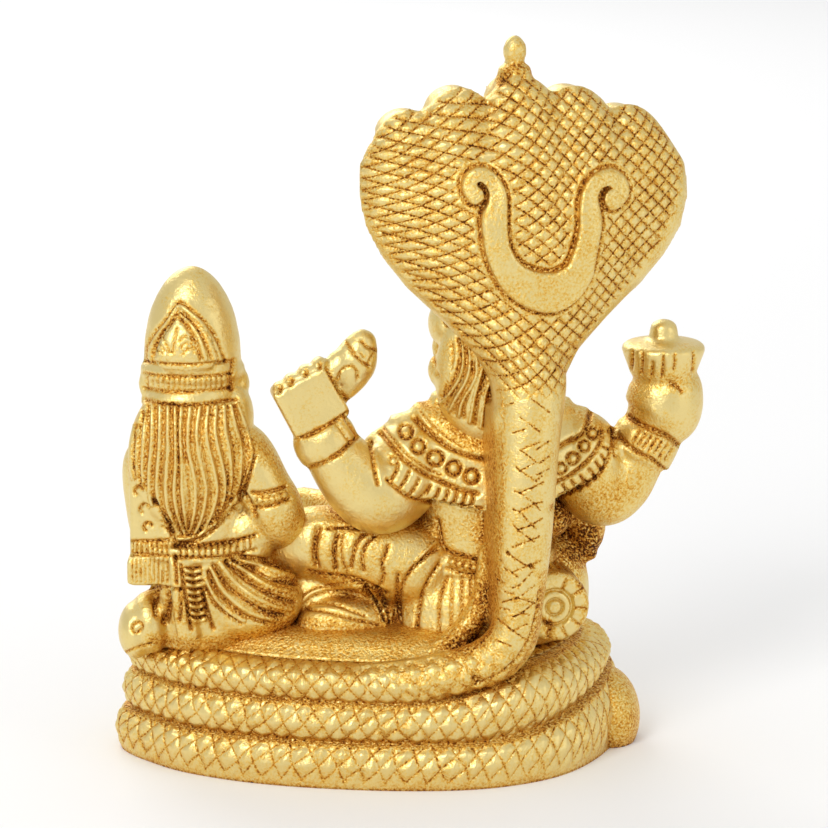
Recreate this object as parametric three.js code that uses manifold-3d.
// A small brass household idol, cast in one piece with its plinth: Vishnu seated on a coiled
// serpent whose five-headed hood rises behind him, and Lakshmi seated beside his feet.
// Millimetres, +Z up, the figures face -Y, and the origin is at the middle of the underside.
import * as THREE from "three";
import { mergeVertices } from "three/addons/utils/BufferGeometryUtils.js";
import Module from "manifold-3d";

const wasm = await Module();
wasm.setup();

// Driving dimensions

// The serpent's body, coiled three times round the plinth, and the floor inside the top coil
const COIL_BULGE = 4.1;
const COIL_INSETS = [0, 1.2, 2];
// The heights of the seams under the three coils, and of the top
const COIL_SEAMS = [0.5, 6.9, 13.1, 19];
// How far each coil moves in and thickens over the tail, and how far each seam rises there
const TAIL_STEPS = [0.7, 1.3, 6];
const TAIL_SWELLS = [0.6, 0.8, 0];
const TAIL_RISES = [0, 5, 5.3, -0.6];
// The floor inside the top coil, [inset, height] outwards in, and the mound in its middle
const FLOOR = [
  [7.6, 18.9],
  [11, 22],
];
const MOUND_HEIGHT = 22.4;
const SCALE_PITCH = 3.6;
const SCALE_RISE = 0.5;
// The plan outline of the lowest coil: a rounded shape, fuller at Vishnu's end
const PLAN = [
  [41.5, -6],
  [36.5, 6],
  [28.5, 14],
  [17, 20.5],
  [1, 25.6],
  [-13.6, 26.8],
  [-26.6, 22.2],
  [-36.6, 10.8],
  [-41, -2],
  [-38, -14],
  [-24, -23.5],
  [-4, -27],
  [17, -25.5],
  [33, -18.5],
];

// The neck and the heart-shaped hood
const HOOD_X = -20.8;
const HOOD_BOTTOM = 62;
const HOOD_DEPTH_Y = 13;
const HOOD_THICK = 3.4;
const HOOD_BULGE = 3.6;
const HEAD_RADIUS = 4.6;
const MARK_RAISE = 1.9;

// Vishnu
const V_X = -17;
const V_Y = 4;
const CAPE_TOP = 58.2;
const CAPE_RADIUS = 19.6;
const CAPE_OVAL = 0.56;
const CAPE_DROP = 8.2;
const V_HEAD_Z = 65.5;
const V_CROWN_BASE = 71;
const V_CROWN_TOP = 97;

// Lakshmi
const L_X = 29.6;
const L_Y = 1;
const L_TURN = -0.2;
const L_CROWN_TOP = 79.2;

// Vector in millimetres
const v3 = (x, y, z) => new THREE.Vector3(x, y, z);
const lerp = THREE.MathUtils.lerp;
const smooth = (t) => THREE.MathUtils.smoothstep(t, 0, 1);

// A closed geometry as a solid that can be joined and cut
function solidOf(geometry) {
  const loose = geometry.index ? geometry.toNonIndexed() : geometry;
  const bare = new THREE.BufferGeometry().setAttribute("position", loose.getAttribute("position"));
  const merged = mergeVertices(bare, 1e-4);
  const triVerts = new Uint32Array(merged.index.array);
  const made = new wasm.Manifold(
    new wasm.Mesh({ numProp: 3, vertProperties: merged.attributes.position.array, triVerts }),
  );
  if (made.volume() < 0) throw new Error("a shape is inside out");
  return made;
}

const join = (solids) => solids.reduce((all, one) => all.add(one));

// A closed geometry from triangles, turned to face outwards, without those a pole has closed up
function geometryOf(triangles) {
  const open = triangles.filter(
    ([a, b, c]) => a.distanceTo(b) > 1e-4 && b.distanceTo(c) > 1e-4 && c.distanceTo(a) > 1e-4,
  );
  const cross = new THREE.Vector3();
  const volume = open.reduce((sum, [a, b, c]) => sum + cross.crossVectors(a, b).dot(c), 0);
  const faces = volume < 0 ? open.map(([a, b, c]) => [a, c, b]) : open;
  return new THREE.BufferGeometry().setFromPoints(faces.flat());
}

// The triangles of a grid of points. The diagonals alternate, so that where every second point
// stands proud each one is the top of a four-sided scale.
function gridTriangles(pointAt, columns, rows) {
  const points = [];
  for (let j = 0; j <= rows; j++) {
    const row = [];
    for (let i = 0; i <= columns; i++) row.push(pointAt(i, j));
    points.push(row);
  }
  const triangles = [];
  for (let j = 0; j < rows; j++) {
    for (let i = 0; i < columns; i++) {
      const [a, b] = [points[j][i], points[j][i + 1]];
      const [d, c] = [points[j + 1][i], points[j + 1][i + 1]];
      if ((i + j) % 2) triangles.push([a, b, c], [a, c, d]);
      else triangles.push([a, b, d], [b, c, d]);
    }
  }
  return triangles;
}

// A ball or egg: polar grid about +Z with a relief that swells or thins it at (column, row)
function egg(centre, radii, { turn = [0, 0, 0], columns = 10, rows = 6, relief = () => 1 } = {}) {
  const euler = new THREE.Euler(...turn);
  const at = (i, j) => {
    const around = ((i % columns) / columns) * 2 * Math.PI;
    const down = (j / rows) * Math.PI;
    const swell = j === 0 || j === rows ? 1 : relief(i % columns, j);
    const ring = Math.sin(down) * swell;
    const p = v3(
      radii[0] * Math.cos(around) * (j % rows ? ring : 0),
      radii[1] * Math.sin(around) * (j % rows ? ring : 0),
      radii[2] * Math.cos(down),
    );
    return p.applyEuler(euler).add(v3(...centre));
  };
  return solidOf(geometryOf(gridTriangles(at, columns, rows)));
}

// A limb or cord: rings along points with their own radii, closed by a point at each end.
// wide and thick scale the ring along side and across it.
function limb(points, radii, { sides = 10, side = v3(0, 1, 0), wide = 1, thick = 1, relief } = {}) {
  const last = points.length - 1;
  const rings = points.map((p, k) => {
    const ahead = points[Math.min(k + 1, last)].clone().sub(points[Math.max(k - 1, 0)]).normalize();
    const across = new THREE.Vector3().crossVectors(ahead, side).normalize();
    const up = new THREE.Vector3().crossVectors(across, ahead).normalize();
    return { p, across, up };
  });
  const at = (i, k) => {
    if (k === 0) return rings[0].p.clone();
    if (k === last + 2) return rings[last].p.clone();
    const { p, across, up } = rings[k - 1];
    const angle = ((i % sides) / sides) * 2 * Math.PI;
    const r = radii[k - 1] * (relief ? relief(i % sides, k - 1) : 1);
    return p
      .clone()
      .addScaledVector(across, Math.cos(angle) * r * thick)
      .addScaledVector(up, Math.sin(angle) * r * wide);
  };
  return solidOf(geometryOf(gridTriangles(at, sides, last + 2)));
}

// A turned shape: a profile of [radius, height] spun about an axis through centre
function turned(profile, centre, { axis = [0, 0, 1], segments = 14, oval = 1 } = {}) {
  const outline = profile.map(([r, h]) => new THREE.Vector2(r, h));
  const spun = new THREE.LatheGeometry(outline, segments);
  spun.rotateX(Math.PI / 2);
  spun.scale(1, oval, 1);
  const lean = new THREE.Quaternion().setFromUnitVectors(v3(0, 0, 1), v3(...axis).normalize());
  spun.applyQuaternion(lean);
  spun.translate(...centre);
  return solidOf(spun);
}

// A row of small eight-faced studs: beads, petals and tassels
function studs(places, radii) {
  return places.map(([x, y, z]) => {
    const stud = new THREE.OctahedronGeometry(1, 0);
    stud.scale(...radii);
    stud.translate(x, y, z);
    return solidOf(stud);
  });
}

// The plinth

const plan = new THREE.CatmullRomCurve3(
  PLAN.map(([x, y]) => v3(x, y, 0)),
  true,
  "catmullrom",
  0.5,
);

// A point of the plan, moved inwards, at a share of the way round. It starts at Lakshmi's end
// and passes the back first.
function planPoint(share, inset) {
  const u = ((share % 1) + 1) % 1;
  const p = plan.getPoint(u);
  const t = plan.getTangent(u);
  return p.add(v3(-t.y, t.x, 0).normalize().multiplyScalar(inset));
}

// How far the coils have climbed over the tail that lies under Vishnu's end of the plinth
function climb(share) {
  return smooth(1 - Math.min(1, Math.abs(share - 0.58) / 0.24));
}

// How far the top coil has drawn in under the neck that leaves it
function retreat(share) {
  const u = ((share % 1) + 1) % 1;
  return smooth((u - 0.29) / 0.14) * (1 - smooth((u - 0.7) / 0.12));
}

// The stack of coils as one solid: at each station round the plan the outline runs from the
// middle of the underside, out over the three coils and back over the rim to the floor, which
// rises to a low mound under the figures
function plinth() {
  const steps = 2 * Math.round(98 / SCALE_PITCH);
  const at = (i, j) => {
    const share = (j % steps) / steps;
    const rise = climb(share);
    const back = retreat(share);
    if (i === 0) return v3(0, 0, 0);
    if (i === 1) return planPoint(share, 0.9 + 0.4 * rise);
    if (i > 13) {
      const [inset, height] = FLOOR[Math.min(i - 14, 1)];
      const floor = planPoint(share, inset + TAIL_STEPS[2] * back);
      return i === 16 ? v3(0, 0, MOUND_HEIGHT) : floor.setZ(height);
    }
    const k = Math.floor((i - 2) / 4);
    const low = k ? -0.272 : -0.2;
    const high = [0.272, 0.272 + 0.228 * back, 0.6][k];
    const angle = (low + ((i - 2) % 4) * ((high - low) / 3)) * Math.PI;
    const rises = TAIL_RISES.map((height, seam) => height * (seam < 2 ? rise : back));
    const bottom = COIL_SEAMS[k] + rises[k];
    const top = COIL_SEAMS[k + 1] + rises[k + 1];
    const reach = Math.sin((angle < 0 ? -low : Math.min(high, 0.5)) * Math.PI);
    const bulge = COIL_BULGE + TAIL_SWELLS[k] * rise;
    const inset = COIL_INSETS[k] + TAIL_STEPS[k] * (k < 2 ? rise : back);
    const centre = planPoint(share, inset + bulge);
    const outward = centre.clone().sub(planPoint(share, inset + bulge + 1));
    const proud = (i + j) % 2 ? SCALE_RISE : -0.1;
    const z = (top + bottom) / 2 + (Math.sin(angle) * (top - bottom)) / (2 * reach);
    centre.addScaledVector(outward, bulge * Math.cos(angle) + proud * Math.max(0.2, Math.cos(angle)));
    return centre.setZ(z + proud * Math.sin(angle));
  };
  const body = solidOf(geometryOf(gridTriangles(at, 16, steps)));
  const tail = egg([-36.8, 2.4, 3.8], [5.6, 8, 7.8], { columns: 10 });
  const ground = new THREE.BoxGeometry(200, 200, 20).translate(0, 0, -10);
  return body.add(tail).subtract(solidOf(ground));
}

// The serpent's neck and hood

// Half the hood's width at a share of the way from its bottom to its shoulder
const HOOD_WIDTHS = [5.4, 8.2, 13, 18.2, 22, 24.6, 25.6, 25.4, 22.6];

function hoodWidth(share) {
  const s = THREE.MathUtils.clamp(share, 0, 1) * (HOOD_WIDTHS.length - 1);
  const k = Math.min(Math.floor(s), HOOD_WIDTHS.length - 2);
  return lerp(HOOD_WIDTHS[k], HOOD_WIDTHS[k + 1], s - k);
}

// The scalloped upper edge: five lobes, each at [side, height], the middle one highest
const LOBES = [
  [-0.76, 104],
  [-0.42, 107.4],
  [0, 109],
  [0.36, 107.2],
  [0.72, 104],
];

function hoodTop(side) {
  return Math.max(...LOBES.map(([at, z]) => z - 62 * (side - at) ** 2 - 60 * Math.abs(side - at) ** 4));
}

// A point of the hood: side from -1 to 1, share from 0 at the neck to 1 at the top
function hoodPoint(side, share, face, proud = 0) {
  const x = HOOD_X - side * hoodWidth(share) * (side > 0 ? 1.045 : 0.985);
  const z = HOOD_BOTTOM + share * (hoodTop(side) - HOOD_BOTTOM);
  const rim = Math.sqrt(Math.max(0, 1 - Math.abs(side) ** 5)) * Math.sqrt(Math.max(0, 1 - share ** 14));
  const foot = Math.max(0, 1 - share * 3);
  const dome = HOOD_BULGE * (1 - side * side) * Math.sin(Math.PI * Math.min(1, share * 1.05));
  const bent = HOOD_DEPTH_Y + 4.5 * foot - 2.2 * side * side - 3.5 * share ** 4;
  const y = face > 0 ? bent + rim * (HOOD_THICK + dome + proud) : bent - rim * (HOOD_THICK - 0.5 * dome);
  return v3(x, y, z);
}

function hood() {
  const rows = 12;
  const columns = 20;
  const closed = (p) => v3(p.x, p.y, p.z);
  const back = gridTriangles(
    (i, j) => {
      const inside = i > 0 && i < columns && j > 0 && j < rows;
      const proud = inside && (i + j) % 2 === 0 ? SCALE_RISE : 0;
      return closed(hoodPoint((2 * i) / columns - 1, j / rows, 1, proud));
    },
    columns,
    rows,
  );
  const front = gridTriangles((i, j) => closed(hoodPoint((2 * i) / columns - 1, j / rows, -1)), columns, rows);
  // The bottom is closed by a strip between the two faces' lowest rows
  const strip = gridTriangles(
    (i, j) => closed(hoodPoint((2 * i) / columns - 1, 0, j ? 1 : -1)),
    columns,
    1,
  );
  const turnedFront = front.map(([a, b, c]) => [a, c, b]);
  return solidOf(geometryOf([...back, ...turnedFront, ...strip]));
}

// The mark on the hood: a U whose two ends curl outwards, as [x, height, half width]
const MARK = [
  [-12.2, 91.6, 1.6],
  [-11.9, 94.2, 1.4],
  [-13.9, 95, 1.3],
  [-15.4, 92.2, 1.5],
  [-15.4, 86, 1.8],
  [-16.6, 81, 2.2],
  [-19.6, 77.7, 2.8],
  [-23, 77, 3.1],
  [-26.8, 78.2, 2.7],
  [-29, 81.8, 2],
  [-29.8, 87.6, 1.8],
  [-30.4, 92, 1.5],
  [-32.6, 93.9, 1.4],
  [-34.9, 92.2, 1.6],
];

function mark() {
  const surface = (x, z) => {
    const side = (HOOD_X - x) / 24;
    return hoodPoint(side, (z - HOOD_BOTTOM) / (hoodTop(side) - HOOD_BOTTOM), 1).y;
  };
  return limb(
    MARK.map(([x, z]) => v3(x, surface(x, z) + MARK_RAISE - 1.5, z)),
    MARK.map((p) => p[2]),
    { sides: 6, wide: 0.75 },
  );
}

function neck() {
  const path = [
    [12, 15.8, 15.8, 2.2],
    [4.5, 19, 16, 3.1],
    [-1.5, 20.5, 16.4, 3.5],
    [-7, 21.3, 17.2, 3.7],
    [-12, 21.7, 18.4, 3.9],
    [-15.6, 21.9, 20.4, 4],
    [-17.8, 21.9, 23.4, 3.9],
    [-18.6, 21.8, 28, 3.8],
    [-19.1, 21.4, 37, 4.5],
    [-19.6, 20.6, 46, 4.9],
    [-20.2, 19.2, 54, 5.2],
    [-20.8, 17.6, 61, 5.8],
    [-20.8, 15.4, 66, 6.4],
  ];
  const curve = new THREE.CatmullRomCurve3(path.map(([x, y, z]) => v3(x, y, z)));
  const stations = 26;
  const points = [];
  const radii = [];
  for (let k = 0; k <= stations; k++) {
    const along = (k / stations) * (path.length - 1);
    const below = Math.min(Math.floor(along), path.length - 2);
    points.push(curve.getPoint(k / stations));
    radii.push(lerp(path[below][3], path[below + 1][3], along - below));
  }
  const tube = limb(points, radii, { sides: 8, relief: (i, k) => ((i + k) % 2 ? 1.07 : 0.97) });
  // The cast web that ties the neck to the figure's back
  const web = new THREE.BoxGeometry(6.4, 16, 40).translate(-18.4, 13, 39);
  return tube.add(solidOf(web));
}

function serpentHeads() {
  const heads = LOBES.map(([side, top]) => {
    const x = HOOD_X - side * 22.6;
    return egg([x, 4.6, top - 5.2], [HEAD_RADIUS, 7.8, HEAD_RADIUS], { columns: 8, rows: 5 });
  });
  const finial = turned(
    [
      [0, -3],
      [3.4, -3],
      [3.2, 1],
      [1.7, 2],
      [1.6, 3.4],
      [2.2, 4.4],
      [1.9, 6],
      [0.9, 7.2],
      [0, 7.8],
    ],
    [HOOD_X + 0.4, 7.4, 107.2],
    { segments: 8 },
  );
  return join([...heads, finial]);
}

// Vishnu

// A hanging mantle: rings about the neck that fall lower at the front and back than at the sides
function mantle(rings, centre, drop, columns) {
  const rows = rings.length - 1;
  const at = (i, j) => {
    const around = ((i % columns) / columns) * 2 * Math.PI;
    const [r, z] = rings[j];
    const fall = drop * (r / CAPE_RADIUS) ** 2 * Math.abs(Math.sin(around)) ** 1.5;
    const lean = 2.2 * (1 - r / CAPE_RADIUS);
    return v3(
      centre[0] - lean + r * Math.cos(around),
      centre[1] + r * CAPE_OVAL * Math.sin(around),
      z - (j === rows ? 0 : fall),
    );
  };
  return solidOf(geometryOf(gridTriangles(at, columns, rows)));
}

function cape() {
  const rings = [
    [0, CAPE_TOP + 1],
    [10, CAPE_TOP],
    [10.3, CAPE_TOP - 1],
    [12.6, 57],
    [12.8, 56],
    [16.2, 55],
    [16.3, 53.8],
    [CAPE_RADIUS, 51.6],
    [CAPE_RADIUS, 49.4],
    [0, 44],
  ];
  const bell = mantle(rings, [V_X, V_Y], CAPE_DROP, 16);
  const petals = [];
  for (let k = 0; k < 11; k++) {
    const around = (0.2 + (0.6 * k) / 10) * Math.PI;
    const drop = CAPE_DROP * Math.abs(Math.sin(around)) ** 1.5;
    const reach = CAPE_RADIUS - 0.2;
    petals.push([
      V_X + reach * Math.cos(around),
      V_Y + reach * CAPE_OVAL * Math.sin(around),
      50.2 - drop,
    ]);
  }
  return join([bell, ...studs(petals, [1.1, 1.1, 1.9])]);
}

// An arm as one sweep of [x, y, z, radius] through shoulder, elbow and wrist
function arm(path, sides = 7, wide = 1) {
  return limb(
    path.map(([x, y, z]) => v3(x, y, z)),
    path.map((p) => p[3]),
    { sides, wide },
  );
}

function vishnuArms() {
  const left = arm([
    [-8, 4, 50.5, 4],
    [-5, 5.5, 48.5, 6.4],
    [-2, 7.2, 45, 6.6],
    [1, 8.4, 43.4, 6.4],
    [4, 8.4, 45.4, 6],
    [6.8, 8.4, 48.8, 5.2],
    [7.8, 8.4, 49.8, 5.8],
    [9.2, 8.3, 54, 5.7],
    [9.4, 8.3, 54.8, 4.8],
    [11, 8.2, 58, 4.9],
    [12.6, 8.2, 60.4, 3.4],
  ]);
  const knuckles = [];
  for (let k = 0; k < 4; k++) {
    const centre = [17 - 2.5 * k, 7.8, 60.7 + 1.4 * k];
    knuckles.push(egg(centre, [1.5, 1.9, 1.5], { columns: 6, rows: 4 }));
  }
  const palm = new THREE.BoxGeometry(9.6, 4.6, 8.6).rotateY(0.45).translate(11.4, 8.2, 58);
  const conch = turned(
    [
      [0, -6],
      [1.8, -4.6],
      [3.7, -0.6],
      [3, 3],
      [2.1, 5.2],
      [0, 6.2],
    ],
    [5, 5.8, 64],
    { axis: [-0.34, 0, 0.94], segments: 8 },
  );
  const right = arm([
    [-28, 4, 51, 4],
    [-31.4, 5, 48.8, 6.2],
    [-33.4, 5, 44, 6.2],
    [-35.6, 5, 41.6, 5.8],
    [-38.4, 5, 43, 5.2],
    [-41, 5, 46.8, 4.6],
    [-41.3, 5, 47.2, 5.3],
    [-43, 5, 50.6, 5.3],
    [-43.3, 5, 51.2, 4.6],
    [-45, 5, 54, 6],
    [-45.6, 5, 57.6, 5.8],
    [-45.8, 5, 60.4, 4.6],
  ]);
  const disc = turned(
    [
      [0, -3],
      [5, -3],
      [6.7, 0.6],
      [6.1, 2.4],
      [2.6, 3.2],
      [2.5, 4.6],
      [0, 6],
    ],
    [-45.2, 5, 62.7],
    { segments: 12 },
  );
  // The front pair: one hand raised with its elbow on the bolster, one laid on the knee
  const frontRight = arm(
    [
      [-28.6, 2, 47, 3.6],
      [-31.6, 2, 41, 4.2],
      [-33.2, 2, 36, 3.6],
      [-33.4, 1.5, 33, 2.8],
      [-32.6, -3, 34.6, 2.9],
      [-31, -9.4, 41, 2.6],
      [-30.4, -11, 45.6, 3.2],
      [-30, -11.4, 50, 1.8],
    ],
    6,
  );
  const frontLeft = arm(
    [
      [-6, 1, 46, 3.6],
      [-1.4, -1, 41, 4.2],
      [2, -3, 37.6, 3.8],
      [5, -7, 36.8, 3.2],
      [8, -11, 37, 2.6],
      [10, -13.6, 36.6, 2.6],
      [11, -15.6, 35.6, 1.2],
    ],
    6,
  );
  const elbow = egg([-34.2, 2, 31], [1.3, 1.5, 1.8], { columns: 6, rows: 4 });
  return join([left, solidOf(palm), ...knuckles, conch, right, disc, frontRight, elbow, frontLeft]);
}

function vishnuHead() {
  const hair = egg([V_X - 0.6, V_Y + 4.2, 62], [9.8, 5.6, 12.6], {
    columns: 18,
    rows: 5,
    relief: (i) => (i % 2 ? 1.06 : 0.95),
  });
  // The face below the rim of the crown, and the crown's steps above it
  const head = vase(
    [
      [56.8, 0, 0],
      [58.4, 3.4, 4],
      [62, 6.6, 6.8],
      [67, 7.3, 7.4],
      [V_CROWN_BASE, 7, 7],
      [72, 8.2, 8],
      [73.6, 7.4, 7.2],
      [76, 7, 6.8],
      [78.6, 6.6, 6.4],
      [81, 5.2, 5],
      [85, 5.2, 5],
      [87, 3.8, 3.7],
      [91, 3.4, 3.3],
      [93.4, 1.6, 1.6],
      [V_CROWN_TOP, 0, 0],
    ],
    [V_X, V_Y - 1.4],
    { columns: 10 },
  );
  return join([
    head,
    egg([V_X, V_Y - 8.8, V_HEAD_Z - 1], [1.3, 1.6, 2.2], { columns: 4, rows: 4 }),
    egg([V_X + 8.2, V_Y + 2.4, 62.4], [1.7, 2.4, 2.6], { columns: 6, rows: 4 }),
    egg([V_X - 8.2, V_Y + 2.4, 62.4], [1.7, 2.4, 2.6], { columns: 6, rows: 4 }),
    hair,
  ]);
}

// A torso, a belt and a skirt in one: levels of [height, half width, half depth], the first and
// the last a point, with a relief at (column, level)
function vase(levels, centre, { columns = 12, relief = () => 1 } = {}) {
  const at = (i, j) => {
    const around = ((i % columns) / columns) * 2 * Math.PI;
    const [z, wide, deep] = levels[j];
    const r = relief(i % columns, j);
    return v3(
      centre[0] + wide * r * Math.cos(around),
      centre[1] + deep * r * Math.sin(around),
      z,
    );
  };
  return solidOf(geometryOf(gridTriangles(at, columns, levels.length - 1)));
}

function vishnuBody() {
  const trunk = vase(
    [
      [17.6, 0, 0],
      [18.4, 13, 9],
      [22, 16.6, 11.4],
      [26.4, 15, 10.8],
      [30.6, 10.6, 9],
      [30.8, 11.4, 9.8],
      [33.2, 11.2, 9.6],
      [33.4, 10.2, 8.6],
      [38, 10.6, 8.4],
      [46, 12.4, 8.4],
      [54, 6, 5],
      [57, 0, 0],
    ],
    [V_X + 0.4, V_Y + 0.4],
    { columns: 14, relief: (i, j) => (j > 4 ? 1 : i % 2 ? 1.04 : 0.96) },
  );
  // The bent leg whose knee points to Lakshmi, with its foot in front
  const thigh = arm([
    [-12, 4, 29, 4],
    [-7, 4.6, 30.4, 7.4],
    [0, 4.6, 32.6, 7],
    [6, 3.8, 34, 6.4],
    [11, 2.6, 34.6, 5.6],
    [14.4, -1, 32, 4.8],
    [14.6, -8, 26.4, 3.6],
    [14.4, -13, 22.8, 3],
    [14.2, -18.6, 21.4, 1.6],
  ]);
  // The leg folded across the seat
  const folded = arm([
    [-20, 2, 25, 5],
    [-24, -4, 25.6, 6.4],
    [-28.4, -9, 25, 5.6],
    [-29, -13.6, 24.4, 4.6],
    [-24, -15.6, 23.8, 4.6],
    [-15, -16, 23, 3.4],
    [-9, -16.4, 22.4, 3],
    [-4.4, -16.6, 22, 1.4],
  ]);
  return join([
    trunk,
    thigh,
    folded,
    // The hem of the cloth, spread on the floor behind the bent leg, and the seat before it
    egg([6.6, 4.6, 21.8], [7.2, 5, 3.6], { columns: 10, rows: 4 }),
    egg([4, -2, 25], [16, 8, 7.6], { columns: 7, rows: 4 }),
  ]);
}

// The bolster at Vishnu's elbow, a rosette on its round end, and his hip against it
function bolster() {
  const length = 22;
  const roll = turned(
    [
      [0, 0],
      [5.7, 0],
      [5.7, length - 1],
      [5, length],
      [3.3, length],
      [2.7, length - 1],
      [2.3, length - 0.2],
      [1.3, length - 0.9],
      [0.8, length],
      [0, length],
    ],
    [-25.2, -6, 26.3],
    { axis: [0, 1, 0], segments: 12 },
  );
  return roll.add(egg([-27, 0.2, 24.4], [7.4, 7.4, 11], { columns: 9, rows: 5 }));
}

// Lakshmi, modelled facing -Y about her own axis and then turned towards Vishnu

function lakshmiHead() {
  const head = vase(
    [
      [51.6, 0, 0],
      [53, 3, 3.6],
      [56.6, 6.4, 6.6],
      [57.2, 8.4, 7.6],
      [58.6, 8.6, 7.8],
      [59.4, 7.8, 7],
      [61.6, 7.8, 7],
      [62.2, 8.5, 7.7],
      [63.8, 8.4, 7.6],
      [64.2, 7.9, 7],
      [69, 7.6, 6.7],
      [74, 6, 5.4],
      [77.6, 3.2, 3],
      [L_CROWN_TOP, 0, 0],
    ],
    [0, -0.4],
    { columns: 10 },
  );
  const hair = egg([0.4, 3.4, 49.4], [9.2, 6.4, 12.6], {
    columns: 14,
    rows: 5,
    relief: (i, j) => (i % 2 ? 1.06 : 0.95) * (j > 3 ? 0.86 : 1),
  });
  const leaf = limb(
    [v3(0, 5.6, 63.6), v3(0, 6.6, 65.4), v3(0, 6.6, 68), v3(0, 5.8, 71), v3(0, 4.6, 74.4)],
    [2.6, 4.8, 4.4, 2.8, 0.5],
    { sides: 6, wide: 0.3 },
  );
  return join([
    head,
    leaf,
    egg([0, -7.4, 56], [1.1, 1.3, 1.8], { columns: 4, rows: 4 }),
    egg([-8, 0, 60.6], [1.3, 1.6, 2.4], { columns: 6, rows: 4 }),
    egg([8, 0, 60.6], [1.3, 1.6, 2.4], { columns: 6, rows: 4 }),
    hair,
  ]);
}

function lakshmiBody() {
  const trunk = vase(
    [
      [17.8, 0, 0],
      [18.4, 9.6, 8.6],
      [21.6, 11.4, 10.2],
      [28, 11, 9.6],
      [33.6, 8.6, 7.4],
      [33.8, 9.6, 8.4],
      [36, 9.4, 8.2],
      [36.2, 8.4, 7],
      [44, 8.2, 6],
      [49.6, 7.6, 5],
      [54, 0, 0],
    ],
    [0, 0],
    { columns: 14, relief: (i, j) => (j > 3 ? 1 : i % 2 ? 1.04 : 0.95) },
  );
  const sash = limb(
    [v3(1.4, 8, 34.6), v3(1.4, 9, 33.4), v3(0.6, 9.8, 26), v3(0, 10, 20)],
    [1, 1.8, 2, 2],
    { sides: 6, wide: 0.6 },
  );
  const right = arm([
    [-3.4, 0.4, 52.4, 2.6],
    [-7.4, 0.6, 49.8, 5],
    [-11.6, 1, 43.8, 4.4],
    [-11.8, 1, 43.4, 5],
    [-12.6, 1.2, 42, 5],
    [-12.8, 1.2, 41.6, 4.3],
    [-13.8, 0, 38.2, 4.2],
    [-14, -6, 35.6, 3],
    [-14.4, -12, 31.6, 2.4],
    [-14.4, -14.6, 30.4, 1],
  ]);
  const left = arm(
    [
      [4.4, 0.4, 50.4, 2.6],
      [6.6, 0.6, 48, 4],
      [6.4, 0.4, 40, 3.8],
      [6, -2, 35.6, 3.4],
      [5, -7, 33, 2.8],
      [4.6, -11.4, 31, 2.4],
      [4.4, -14, 30, 1],
    ],
    6,
  );
  // Her stole, cut square above the knee
  const stole = new THREE.BoxGeometry(5.4, 8.6, 18).translate(6.6, 1.6, 38.4);
  const hem = new THREE.BoxGeometry(6.2, 9.4, 4.4).translate(6.7, 1.6, 31.6);
  const folds = (i, j) => (j % 2 ? 1.04 : 0.93);
  return join([
    trunk,
    egg([-8.4, 0.6, 25.8], [9, 8, 7], { columns: 8, rows: 8, relief: folds }),
    sash,
    // The left knee, covered by the cloth
    egg([7.2, -1.6, 21.4], [4.2, 7.4, 6], { columns: 8, rows: 4 }),
    egg([-2.6, -7, 23], [11, 6.4, 5.4], { columns: 8, rows: 4 }),
    right,
    left,
    solidOf(stole).add(solidOf(hem)),
  ]);
}

function lakshmi() {
  return join([lakshmiHead(), lakshmiBody()])
    .rotate([0, 0, THREE.MathUtils.radToDeg(L_TURN)])
    .translate([L_X, L_Y, 0]);
}

// The whole casting is one solid, of one material

// The outer body of a joined solid, without the pockets closed in between its shapes and
// without any crumb under a tenth of a cubic millimetre
function outerBody(solid) {
  const bodies = solid.decompose().filter((body) => body.volume() > 0.1);
  if (bodies.length !== 1) throw new Error(`the casting is in ${bodies.length} pieces`);
  return bodies[0].simplify(0.14);
}

const casting = join([
  plinth(),
  neck(),
  hood(),
  mark(),
  serpentHeads(),
  vishnuBody(),
  cape(),
  vishnuArms(),
  vishnuHead(),
  bolster(),
  lakshmi(),
]);

function meshOf(solid, name, material) {
  const m = solid.getMesh();
  const positions = new Float32Array(m.numVert * 3);
  for (let i = 0; i < m.numVert; i++) {
    for (let k = 0; k < 3; k++) positions[3 * i + k] = m.vertProperties[i * m.numProp + k];
  }
  const geometry = new THREE.BufferGeometry();
  geometry.setAttribute("position", new THREE.BufferAttribute(positions, 3));
  geometry.setIndex(new THREE.BufferAttribute(new Uint32Array(m.triVerts), 1));
  geometry.computeVertexNormals();
  const mesh = new THREE.Mesh(geometry, material);
  mesh.name = name;
  return mesh;
}

const brass = new THREE.MeshStandardMaterial({ color: 0xd9a441, metalness: 1, roughness: 0.42 });

const idol = new THREE.Group();
idol.add(meshOf(outerBody(casting), "idol", brass));

export default idol;
